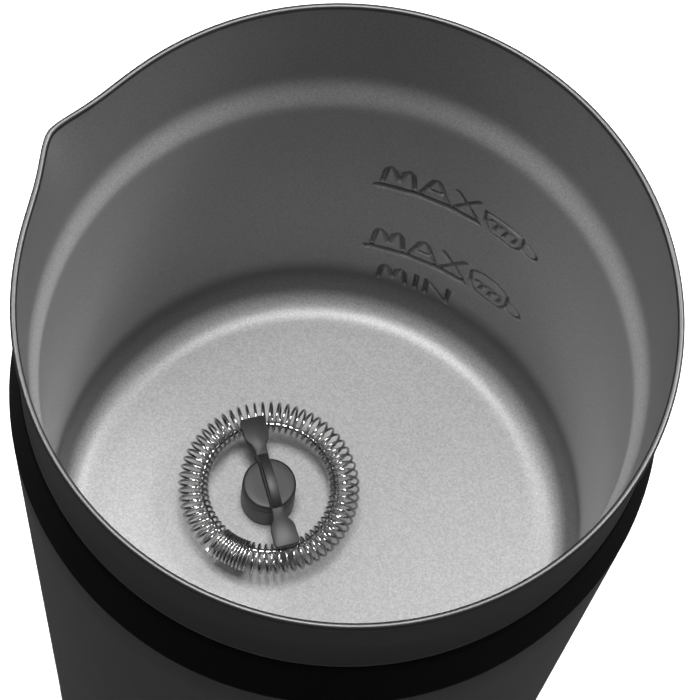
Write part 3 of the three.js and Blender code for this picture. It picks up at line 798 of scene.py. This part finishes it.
@dataclass
class Pot:
    """The coated pot, from its spouted lip to its flat floor. Radii and depths in millimetres.

    Depths are below the rim.

    Attributes:
        ledge: How far a pressed face may look up and still get the marks' painted shade, a darker copy of the
            coating.
        mark_rows: Depths from and to, and the rows between them, finer where the marks are.
        first_column: Direction of the first column of corners, in degrees.
        mark_columns: Angle and columns of each part of the turn, finer at the marks and the spout.
    """

    rim: float
    rim_radius: float = 49.0
    lip_width: float = 1.0
    lip_height: float = 1.4
    sheet: float = 0.6
    above_bead: float = 46.7
    bead_top: float = 20.6
    bead_foot: float = 29.2
    below_bead: float = 45.1
    wall_foot: float = 44.0
    floor_fillet: float = 6.6
    depth: float = 98.5
    shoulder: float = 21.6
    shoulder_radius: float = 48.0
    shoulder_flare: float = 0.55
    spout_reach: float = 2.84
    spout_half_angle: float = 7.0
    spout_sharpness: float = 1.6
    spout_height: float = 24.0
    ledge: float = 0.12
    mark_rows: tuple[tuple[float, float, int], ...] = ((94.0, 70.0, 108), (70.0, 58.0, 5), (58.0, 46.0, 54))
    first_column: float = 69.3
    mark_columns: tuple[tuple[float, int], ...] = ((43.5, 152), (50.0, 25), (34.0, 34), (232.5, 116))
    marks: LevelMarks = field(default_factory=LevelMarks)

    def inner_profile(self) -> list[Point]:
        """The inside from the floor's middle up to the lip, as radius and depth."""
        mouth = self.rim_radius - self.lip_width
        floor = self.depth
        corner = (self.wall_foot - self.floor_fillet, floor - self.floor_fillet)
        points = [(0.0, floor), *between((0, floor), (corner[0] - 1, floor), 8)]
        points += arc(corner, self.floor_fillet, 90, 0, 12)
        top = (self.below_bead, self.bead_foot)
        draw = (self.wall_foot - self.below_bead) / (corner[1] - self.bead_foot)

        def at(deep: float) -> Point:
            return (self.below_bead + draw * (deep - self.bead_foot), deep)

        lowest, *others = self.mark_rows
        points += between(at(lowest[0]), at(lowest[1]), lowest[2])
        for foot, head, rows in others:
            points += between(at(foot), at(head), rows)[1:]
        points += between(at(others[-1][1]), top, 5)
        step = self.above_bead - self.below_bead
        rise = self.bead_foot - self.bead_top
        for i in range(1, 17):
            t = i / 16
            points.append((self.below_bead + step * (t * t * (3 - 2 * t)), self.bead_foot - rise * t))
        points += between((self.above_bead, self.bead_top), (mouth, self.lip_height * 0.5), 8)
        return points

    def outer_profile(self) -> list[Point]:
        """The outside from the lip down to the underside's middle, as radius and depth."""
        mouth = self.rim_radius - self.lip_width
        half = self.lip_width / 2
        lip = arc((mouth + half, half), half, 180, 360, 10)
        lip += arc((mouth + half, self.lip_height - half * 0.6), half, 0, 60, 4)
        neck = mouth + self.sheet
        points = [*lip, (neck, self.lip_height + 0.25)]
        waist = (self.shoulder_radius - self.shoulder_flare, self.shoulder - 8)
        points += between(points[-1], waist, 6)
        drop = self.shoulder - 0.25 - waist[1]
        for i in range(1, 11):
            t = i / 10
            points.append((waist[0] + self.shoulder_flare * t * t, waist[1] + drop * t))
        points += [
            (self.shoulder_radius - 0.12, self.shoulder),
            (self.above_bead + self.sheet, self.shoulder + 0.15),
            (self.below_bead + self.sheet + 0.9, self.shoulder + 3),
            (self.below_bead + self.sheet, self.bead_foot),
            (self.wall_foot + self.sheet, self.depth - self.floor_fillet),
        ]
        foot = (self.wall_foot - self.floor_fillet, self.depth - self.floor_fillet)
        points += arc(foot, self.floor_fillet + self.sheet, 0, 90, 6)[1:]
        points.append((0.0, self.depth + self.sheet))
        return points

    def bulge(self, places: np.ndarray) -> np.ndarray:
        """How far the spout stands out at places given in millimetres."""
        off = np.abs(np.degrees(np.arctan2(places[:, 1], -places[:, 0])))
        across = np.exp(-((off / self.spout_half_angle) ** self.spout_sharpness))
        down = np.clip(1 - (self.rim - places[:, 2]) / self.spout_height, 0, 1)
        return self.spout_reach * across * down**2

    def formed(self, metres: np.ndarray) -> np.ndarray:
        """Draws out the spout and presses in the marks."""
        places = metres / MM
        radius = np.hypot(places[:, 0], places[:, 1])
        out = self.bulge(places)
        wall = (radius > self.wall_foot - 0.2) & (radius < self.below_bead + 0.2)
        wall &= (places[:, 2] < self.rim - 40) & (places[:, 1] > 0)
        out[wall] += self.marks.press(places[wall], self.rim, self.wall_foot + 0.55)
        scale = 1 + np.where(radius > 1, out / np.maximum(radius, 1), 0)
        places[:, :2] *= scale[:, None]
        return places * MM

    def build(self) -> None:
        """Turns the pot, forms it and dresses its inside, lip and outside."""
        profile = [(r, self.rim - d) for r, d in self.inner_profile() + self.outer_profile()]
        work = Workpiece("pot").turn(profile, self.mark_columns, start=self.first_column, closed=False)
        work.shape(self.formed)
        for dress in (Dress.COATING, Dress.LIP, Dress.SHOULDER, Dress.GROOVE):
            work.obj.data.materials.append(dress.material())
        self.paint(work.obj)
        work.smooth(50)
        work.finish(Dress.COATING, "jug", "pot_coating", "inner_pot")

    def paint(self, obj: bpy.types.Object) -> None:
        """Gives the lip and the outside their own finishes, and paints shade on the faces of the pressed
        marks that don't look up.
        """
        mouth = self.rim_radius - self.lip_width
        centres = np.array([face.center for face in obj.data.polygons]) / MM
        pressed = self.marks.press(centres, self.rim, self.wall_foot + 0.55) > 0.3
        for face in obj.data.polygons:
            x, y, z = (c / MM for c in face.center)
            radius = math.hypot(x, y)
            deep = self.rim - z
            outward = face.normal.x * x + face.normal.y * y > 0
            if deep < self.lip_height + 0.1 and radius > mouth - 0.3:
                face.material_index = 1
            elif outward and radius > self.wall_foot:
                face.material_index = 2
            # Painted shade: pressed faces of the marks that don't look up get the darker copy of the coating.
            elif pressed[face.index] and y > 0 and deep > 40 and face.normal.z < self.ledge:
                face.material_index = 3


@dataclass
class Housing:
    """The outer body: the tapered shell and the black collar above it, in millimetres."""

    low: float
    top: float
    band_low: float
    band_top: float
    button_height: float
    button_hole: float = 9.3
    top_radius: float = 49.7
    taper: float = 0.0485
    wall: float = 1.6
    band_top_radius: float = 48.0

    def radius_at(self, z: float) -> float:
        """The shell's outer radius at a height."""
        return self.top_radius - self.taper * (self.top - z)

    def shell(self) -> None:
        """Turns the shell and cuts the button's hole."""
        top, low = self.top, self.low
        outer_top, outer_low = self.radius_at(top), self.radius_at(low)
        profile = [
            (outer_top - self.wall, top),
            (outer_top - 0.25, top),
            (outer_top - 0.05, top - 0.1),
            (outer_top, top - 0.35),
            *between((outer_top, top - 0.35), (outer_low, low + 0.5), 12),
            *arc((outer_low - 0.5, low + 0.5), 0.5, 0, -90, 4)[1:],
            (outer_low - self.wall, low),
        ]
        work = Workpiece("housing_shell").turn(profile, ((360, 192),))
        work.carve(drill(self.button_hole, 96, self.button_height, -1)).smooth(40)
        work.finish(Dress.HOUSING, "jug", "housing_paint", "housing")

    def collar(self) -> None:
        """Turns the black collar."""
        low, top = self.band_low, self.band_top
        profile = [
            (self.band_top_radius - 0.3, top),
            (self.band_top_radius - 0.06, top),
            (self.band_top_radius, top - 0.12),
            *between((self.band_top_radius, top - 0.12), (self.top_radius, low + 0.12), 6),
            (self.top_radius - 0.08, low),
            (self.top_radius - self.wall - 0.3, low),
            (self.top_radius - self.wall - 0.3, low - 5),
            (47.1, low - 5),
            (47.1, top - 3.6),
        ]
        work = Workpiece("black_collar").turn(profile, ((360, 192),)).smooth(40)
        work.finish(Dress.BAND, "jug", "black_plastic", "collar_band")

    def build(self) -> None:
        """Builds the shell and the collar."""
        self.shell()
        self.collar()


@dataclass
class Whisk:
    """The coil whisk on its pin, in millimetres."""

    floor: float
    axis_x: float = -9.0
    ring_lift: float = 6.5
    ring_radius: float = 12.6
    coil_radius: float = 2.6
    coil_wire: float = 0.45
    turns: int = 70
    tight_turns: int = 10
    tight_angle: float = 25.0
    tight_start: float = 260.0
    hoop_radius: float = 11.3
    hoop_wire: float = 0.85
    hub_radius: float = 4.45
    hub_lift: float = 0.4
    hub_height: float = 8.3
    arm_angle: float = 136.5
    arm_reach: float = 11.6
    arm_thickness: float = 0.9

    def place(self, x: float, y: float, z: float) -> tuple[float, float, float]:
        """A point in metres from millimetres about the whisk's axis."""
        return ((self.axis_x + x) * MM, y * MM, z * MM)

    def spring(self) -> None:
        """Winds the coil round the ring, with its ends in tight turns."""
        mean = self.coil_radius - self.coil_wire / 2
        steps = 20
        points = []
        for i in range(self.turns * steps + 1):
            turn = i / steps
            if turn < self.tight_turns:
                along = turn / self.tight_turns * self.tight_angle
            else:
                share = (turn - self.tight_turns) / (self.turns - self.tight_turns)
                along = self.tight_angle + share * (360 - self.tight_angle - 1.2)
            a, b = math.radians(self.tight_start + along), turn * 2 * math.pi
            r = self.ring_radius + mean * math.cos(b)
            z = self.floor + self.ring_lift + mean * math.sin(b)
            points.append(self.place(r * math.cos(a), r * math.sin(a), z))
        work = wire("whisk_coil", points, self.coil_wire, False, 8).smooth(60)
        work.finish(Dress.WIRE, "whisk", "steel_wire", "whisk_spring")

    def hoop(self) -> None:
        """Bends the hoop that carries the coil."""
        z = self.floor + self.ring_lift
        turns = [math.radians(i * 3) for i in range(120)]
        radius = self.hoop_radius
        points = [self.place(radius * math.cos(t), radius * math.sin(t), z) for t in turns]
        work = wire("whisk_ring", points, self.hoop_wire, True, 16).smooth(60)
        work.finish(Dress.WIRE, "whisk", "steel_wire", "whisk_hoop")

    def hub(self) -> None:
        """Turns the puck with its seam."""
        low = self.floor + self.hub_lift
        top = low + self.hub_height
        r = self.hub_radius
        seam = top - 2.1
        profile = [
            (0, top),
            *between((0, top), (r - 0.45, top), 4),
            *arc((r - 0.45, top - 0.45), 0.45, 90, 0, 5)[1:],
            (r, seam + 0.14),
            (r - 0.16, seam + 0.06),
            (r - 0.16, seam - 0.06),
            (r + 0.04, seam - 0.14),
            *arc((r - 0.31, low + 0.35), 0.35, 0, -90, 4),
            (r - 0.9, low),
            (r - 0.9, top - 3.2),
            (2.25, top - 3.2),
            (2.25, top - 2.2),
            (0, top - 2.2),
        ]
        work = Workpiece("whisk_puck").turn(profile, ((360, 96),), axis=(self.axis_x, 0), closed=False)
        work.smooth(35).finish(Dress.WHISK, "whisk", "whisk_plastic", "whisk_hub")

    def frame_outline(self) -> list[Point]:
        """Half by half outline of the two arms and their spade ends, seen from above."""
        side = [
            (2.2, 1.0),
            (5.6, 1.0),
            (6.7, 1.2),
            (7.7, 1.9),
            (8.5, 2.1),
            (self.arm_reach - 0.6, 2.15),
            (self.arm_reach, 1.9),
        ]
        right = [*side, *[(x, -y) for x, y in reversed(side)]]
        left = [(-x, -y) for x, y in right]
        return right + left

    def frame(self) -> None:
        """Shapes the arms and the arch over the hub."""
        low = self.floor + self.hub_lift + self.hub_height + 0.3
        arms = Workpiece("whisk_arms").slab(
            [self.place(x, y, low) for x, y in self.frame_outline()], (0, 0, self.arm_thickness * MM)
        )
        arms.bevel(0.22, 2)
        half, rise, thick, wide = 5.0, 3.0, 1.1, 1.6
        outer = bow((0, 0.35), half, rise - 0.35, 180, 0, 14)
        inside = half - thick * 1.3
        inner = bow((0, 0.35), inside, rise - 0.35 - thick, 0, 180, 12)
        outline = [(-half, 0.2), *outer, (half, 0.2), (inside, 0.2), *inner, (-inside, 0.2)]
        arch = Workpiece("whisk_arch").slab(
            [self.place(x, -wide / 2, low + z) for x, z in dict.fromkeys(outline)], (0, wide * MM, 0)
        )
        arch.bevel(0.2, 2)
        arms.carve(arch, "UNION")
        c, s = math.cos(math.radians(self.arm_angle)), math.sin(math.radians(self.arm_angle))
        ax = self.axis_x * MM

        def swing(p: np.ndarray) -> np.ndarray:
            x, y = p[:, 0] - ax, p[:, 1]
            return np.stack([ax + x * c - y * s, x * s + y * c, p[:, 2]], 1)

        arms.shape(swing).smooth(35)
        arms.finish(Dress.WHISK, "whisk", "whisk_plastic", "whisk_frame")

    def pin(self) -> None:
        """Turns the pin on the pot's floor."""
        z = self.floor
        profile = [
            (0, z + 0.05),
            (2.0, z + 0.05),
            (2.0, z + 0.25),
            *arc((1.6, z + 0.75), 0.5, 270, 180, 4),
            (1.1, z + 4.5),
            *arc((0.7, z + 4.6), 0.4, 0, 90, 4),
            (0, z + 5.0),
        ]
        work = Workpiece("floor_pin").turn(profile, ((360, 48),), axis=(self.axis_x, 0), closed=False)
        work.smooth(40).finish(Dress.STEEL, "jug", "steel", "whisk_pin")

    def build(self) -> None:
        """Builds the whisk's pieces."""
        self.spring()
        self.hoop()
        self.hub()
        self.frame()
        self.pin()


@dataclass
class StartButton:
    """The round button on the front and its bezel, in millimetres."""

    height: float
    face: float
    back: float
    bezel_face: float
    bezel_back: float
    shell: Housing
    radius: float = 7.5
    bore: float = 7.8
    sleeve: float = 9.0
    flange: float = 10.5

    def facing(self, points: np.ndarray) -> np.ndarray:
        """Lays a piece turned about Z so that its top faces the front."""
        return laid_along_y(points, self.height, -1)

    def button(self) -> None:
        """Turns the button with a dished face and a fine ring."""
        out, back, r = -self.face, -self.back, self.radius
        profile = [
            (0, out - 0.45),
            *[(x, out - 0.45 * (1 - (x / (r - 1.6)) ** 2)) for x in (1.2, 2.4, 3.4, 4.2, 4.5)],
            (4.6, out - 0.42),
            (4.9, out - 0.42),
            (5.0, out - 0.16),
            (r - 1.6, out),
            *arc((r - 0.8, out - 0.8), 0.8, 90, 0, 6),
            (r, back + 1.3),
            (r + 1.1, back + 1.3),
            (r + 1.1, back),
            (0, back),
        ]
        work = Workpiece("button_cap").turn(profile, ((360, 96),), closed=False)
        work.shape(self.facing).tidy_edit().smooth(35)
        work.finish(Dress.BLACK, "button", "black_plastic", "start_button")

    def bezel(self) -> None:
        """Turns the bezel and fits its flange to the shell."""
        out, back = -self.bezel_face, -self.bezel_back
        profile = [
            (self.bore, out - 0.3),
            *arc((self.bore + 0.3, out - 0.3), 0.3, 180, 90, 3)[1:],
            (self.flange - 0.6, out),
            *arc((self.flange - 0.6, out - 0.6), 0.6, 90, 0, 5)[1:],
            (self.flange, out - 3.2),
            (self.sleeve, out - 3.2),
            (self.sleeve, back),
            (self.bore, back),
        ]
        work = Workpiece("button_ring").turn(profile, ((360, 96),))

        def fit(p: np.ndarray) -> np.ndarray:
            laid = self.facing(p)
            x, y, z = (laid / MM).T
            flange = (np.hypot(x, z - self.height) > self.sleeve + 0.2) & (y > -(out - 1.0))
            skin = self.shell.top_radius - self.shell.taper * (self.shell.top - z) + 0.05
            laid[flange, 1] = (-np.sqrt(skin**2 - x**2) * MM)[flange]
            return laid

        work.shape(fit).tidy_edit().smooth(35)
        work.finish(Dress.STEEL, "jug", "steel", "button_bezel")

    def build(self) -> None:
        """Builds the button's pieces."""
        self.button()
        self.bezel()


@dataclass
class Base:
    """The round base with its connector tower, feet and cord gland, in millimetres."""

    top: float
    low: float
    tower_top: float
    top_radius: float = 43.1
    flare: float = -0.9
    wall: float = 2.0
    tower_radius: float = 11.5
    tower_wall: float = 1.7
    foot_radius: float = 4.0
    foot_pitch: float = 34.0
    gland_radius: float = 4.0
    gland_height: float = 10.2
    gland_gap: float = 0.15

    def shell(self) -> None:
        """Turns the shell and cuts the cord's hole."""
        top, low, r = self.top, self.low, self.top_radius
        foot = r + self.flare
        hole = self.tower_radius + 0.3
        profile = [
            (hole, top - 0.3),
            *arc((hole + 0.3, top - 0.3), 0.3, 180, 90, 3)[1:],
            (r - 4.4, top),
            (r - 4.1, top - 0.25),
            (r - 3.8, top - 0.25),
            (r - 3.5, top),
            (r - 1.2, top),
            *arc((r - 1.2, top - 1.2), 1.2, 90, 4, 6)[1:],
            *between((r, top - 1.2), (foot, low + 1.2), 4),
            *arc((foot - 0.9, low + 0.9), 0.9, 0, -90, 5)[1:],
            (foot - self.wall, low),
            (foot - self.wall, low + 1.5),
            (r - self.wall, top - self.wall - 1),
            (r - self.wall - 1, top - self.wall),
            (hole, top - self.wall),
        ]
        work = Workpiece("base_cover").turn(profile, ((360, 160),))
        work.carve(drill(self.gland_radius + self.gland_gap, 48, self.gland_height, 1)).smooth(35)
        work.finish(Dress.BLACK, "base", "black_plastic", "base_shell")

    def tower(self) -> None:
        """Turns the connector tower."""
        r, top, low = self.tower_radius, self.tower_top, self.low + 2.3
        inner = r - self.tower_wall
        profile = [
            (0, low),
            (r + 2, low),
            (r + 2, low + 2),
            (r, low + 2),
            *arc((r - 0.6, top - 0.6), 0.6, 0, 90, 5),
            *arc((inner + 0.3, top - 0.3), 0.3, 90, 180, 3),
            (inner, low + 3),
            (0, low + 3),
        ]
        work = Workpiece("connector_tower").turn(profile, ((360, 96),), closed=False).smooth(35)
        work.finish(Dress.BLACK, "base", "black_plastic", "base_connector")

    def feet(self) -> None:
        """Turns one foot and copies it round."""
        r = self.foot_radius
        profile = [
            (0, 0),
            (r - 0.9, 0),
            *arc((r - 0.6, 0.6), 0.6, -90, 0, 4)[1:],
            (r, 1.7),
            (0, 1.7),
        ]
        place = self.foot_pitch * math.cos(math.radians(45))
        first = Workpiece("foot_1").turn(profile, ((360, 48),), axis=(place, place), closed=False).smooth(35)
        others = [first.copy(f"foot_{i + 1}", 90 * i) for i in (1, 2, 3)]
        for i, foot in enumerate([first, *others], 1):
            foot.finish(Dress.RUBBER, "base", "rubber", f"base_foot_{i}")

    def gland(self) -> None:
        """Turns the cord's gland at the back."""
        low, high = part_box("cord_gland")
        start, end = low.y / MM, high.y / MM
        r = self.gland_radius
        profile = [
            (r - 0.8, start),
            (r + 1.6, start),
            (r + 1.6, start + 1.2),
            (r, start + 1.2),
            *arc((r - 0.4, end - 0.4), 0.4, 0, 180, 6),
        ]
        work = Workpiece("cord_bush").turn(profile, ((360, 64),))
        work.shape(lambda p: laid_along_y(p, self.gland_height, 1)).tidy_edit().smooth(35)
        work.finish(Dress.RUBBER, "base", "rubber", "cord_gland")

    def build(self) -> None:
        """Builds the base's pieces."""
        self.shell()
        self.tower()
        self.feet()
        self.gland()


SLOT_DRESS = {
    "housing_paint": Dress.HOUSING,
    "pot_coating": Dress.COATING,
    "black_plastic": Dress.BLACK,
    "whisk_plastic": Dress.WHISK,
    "steel_wire": Dress.WIRE,
    "steel": Dress.STEEL,
    "brass": Dress.BRASS,
    "aluminium": Dress.ALUMINIUM,
    "rubber": Dress.RUBBER,
    "circuit_board": Dress.BOARD,
    "magnet": Dress.MAGNET,
}


def dress_cad(frame: dict[str, Any]) -> None:
    """Gives every CAD node the finish of its material slot."""
    for part in frame["record"]["subparts"]:
        obj = frame["nodes"][part["node"]]
        material = SLOT_DRESS[part["material_slot"]].material()
        if not obj.material_slots:
            obj.data.materials.append(material)
        for held in obj.material_slots:
            held.material = material


# ---------------------------------------------------------------- studio


@dataclass
class Viewpoint:
    """The camera, aimed at the rim's centre and then panned, tilted and rolled a little.

    Angles in degrees, distance in metres.
    """

    rim: float
    azimuth: float = 22.5
    elevation: float = 67.5
    distance: float = 0.5792
    pan: float = 0.115
    tilt: float = 0.6245
    roll: float = -9.219
    lens: float = 205.714

    def build(self) -> None:
        """Makes the camera and sets it as the scene's."""
        e = math.radians(self.elevation)
        back = Vector((0, -math.cos(e), math.sin(e)))
        right = Vector((1, 0, 0))
        aim = Matrix((right, back.cross(right), back))
        nudge = (
            Matrix.Rotation(math.radians(self.roll), 3, "Z")
            @ Matrix.Rotation(math.radians(self.tilt), 3, "X")
            @ Matrix.Rotation(math.radians(self.pan), 3, "Y")
        )
        turn = Matrix.Rotation(math.radians(self.azimuth), 3, "Z")
        pose = (turn @ (nudge @ aim).transposed()).to_4x4()
        pose.translation = turn @ (back * self.distance) + Vector((0, 0, self.rim * MM))
        data = bpy.data.cameras.new("viewpoint")
        data.lens = self.lens
        data.clip_start, data.clip_end = 0.01, 20
        camera = bpy.data.objects.new("viewpoint", data)
        bpy.context.scene.collection.objects.link(camera)
        camera.matrix_world = pose
        bpy.context.scene.camera = camera


@dataclass
class Studio:
    """A pale floor and wall under an overhead and two side softboxes, in a dim surround.

    Attributes:
        sides: Name, direction in degrees and share of the power of each side light.
    """

    key_power: float = 21.0
    key_size: float = 0.4
    key_place: tuple[float, float, float] = (-0.05, -0.01, 1.5)
    sides: tuple[tuple[str, float, float], ...] = (("right", 50, 1.0), ("left", 185, 0.55))
    side_power: float = 17.0
    side_size: float = 0.35
    side_reach: float = 0.75
    side_height: float = 1.15
    surround: float = 0.1
    nadir: float = 0.11
    floor_tone: float = 0.9
    floor_glow: float = 0.4
    floor_size: float = 6.0
    backdrop_glow: float = 0.66

    def softbox(
        self, name: str, place: Sequence[float], aim: Sequence[float], size: float, power: float
    ) -> None:
        """Hangs a square light that faces a point."""
        data = bpy.data.lights.new(name, "AREA")
        data.size = size
        data.energy = power
        lamp = bpy.data.objects.new(name, data)
        bpy.context.scene.collection.objects.link(lamp)
        lamp.location = place
        lamp.rotation_euler = (Vector(aim) - Vector(place)).to_track_quat("-Z", "Y").to_euler()

    def floor(self) -> None:
        """Lays the floor, which the gloss of the paint doesn't mirror."""
        bpy.ops.object.select_all(action="DESELECT")
        bpy.ops.mesh.primitive_plane_add(size=self.floor_size, location=(0, 0, 0))
        floor = bpy.context.active_object
        floor.name = "studio_floor"
        r = Recipe("white_sweep")
        r.shade(
            Base_Color=(*grey(self.floor_tone), 1),
            Roughness=0.9,
            Emission_Color=(1, 1, 1, 1),
            Emission_Strength=self.floor_glow,
        )
        floor.data.materials.append(r.material)
        floor.visible_glossy = False
        floor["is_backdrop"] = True

    def backdrop(self) -> None:
        """Stands a pale wall far round the object, which only the camera sees."""
        half = self.floor_size / 2
        bpy.ops.mesh.primitive_cylinder_add(
            vertices=96, radius=half, depth=self.floor_size, end_fill_type="NOTHING", location=(0, 0, half)
        )
        wall = bpy.context.active_object
        wall.name = "studio_backdrop"
        r = Recipe("studio_backdrop")
        r.shade(Base_Color=(0, 0, 0, 1), Emission_Color=(1, 1, 1, 1), Emission_Strength=self.backdrop_glow)
        wall.data.materials.append(r.material)
        wall.visible_diffuse = wall.visible_glossy = wall.visible_transmission = wall.visible_shadow = False
        wall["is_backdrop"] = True

    def sky(self) -> None:
        """Lights the surround above the horizon."""
        world = bpy.data.worlds.new("surround")
        world.use_nodes = True
        tree = world.node_tree
        place = tree.nodes.new("ShaderNodeTexCoord")
        split = tree.nodes.new("ShaderNodeSeparateXYZ")
        tree.links.new(place.outputs["Generated"], split.inputs["Vector"])
        up = Value(tree, split.outputs["Z"])
        glow = up.step(-0.6, 0.3) * (self.surround - self.nadir) + self.nadir
        tree.links.new(glow.socket, tree.nodes["Background"].inputs["Strength"])
        tree.nodes["Background"].inputs["Color"].default_value = (1, 1, 1, 1)
        bpy.context.scene.world = world

    def build(self) -> None:
        """Makes the floor, the lights and the surround."""
        self.floor()
        self.backdrop()
        self.softbox("key", self.key_place, (0, 0, 0.1), self.key_size, self.key_power)
        for name, turn, share in self.sides:
            c, s = math.cos(math.radians(turn)), math.sin(math.radians(turn))
            place = (self.side_reach * c, self.side_reach * s, self.side_height)
            self.softbox(name, place, (0, 0, 0.13), self.side_size, self.side_power * share)
        self.sky()
        bpy.context.scene.view_settings.view_transform = "Standard"


# ---------------------------------------------------------------- the whole


def millimetres(node: str) -> tuple[Vector, Vector]:
    """A CAD node's lowest and highest corners in millimetres."""
    low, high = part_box(node)
    return low / MM, high / MM


def main() -> None:
    """Loads the frame and builds every sub-assembly around it from the CAD nodes' sizes."""
    logging.basicConfig(level=logging.INFO, format="%(message)s")
    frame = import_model()
    cad_low, cad_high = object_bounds()
    rim = cad_high.z / MM
    Viewpoint(rim).build()
    Studio().build()
    dress_cad(frame)

    pot = Pot(rim)
    pot.build()
    band_top = millimetres("collar_band")[1].z
    shell_low, shell_high = millimetres("housing")
    button_low, button_high = millimetres("start_button")
    bezel_low, bezel_high = millimetres("button_bezel")
    button_height = (button_low.z + button_high.z) / 2
    housing = Housing(shell_low.z, shell_high.z, shell_high.z + 0.3, band_top, button_height)
    housing.build()
    Whisk(rim - pot.depth).build()
    StartButton(button_height, button_low.y, button_high.y, bezel_low.y, bezel_high.y, housing).build()
    base_low, base_high = millimetres("base_shell")
    Base(base_high.z, base_low.z, millimetres("base_connector")[1].z).build()


if __name__ == "__main__":
    main()
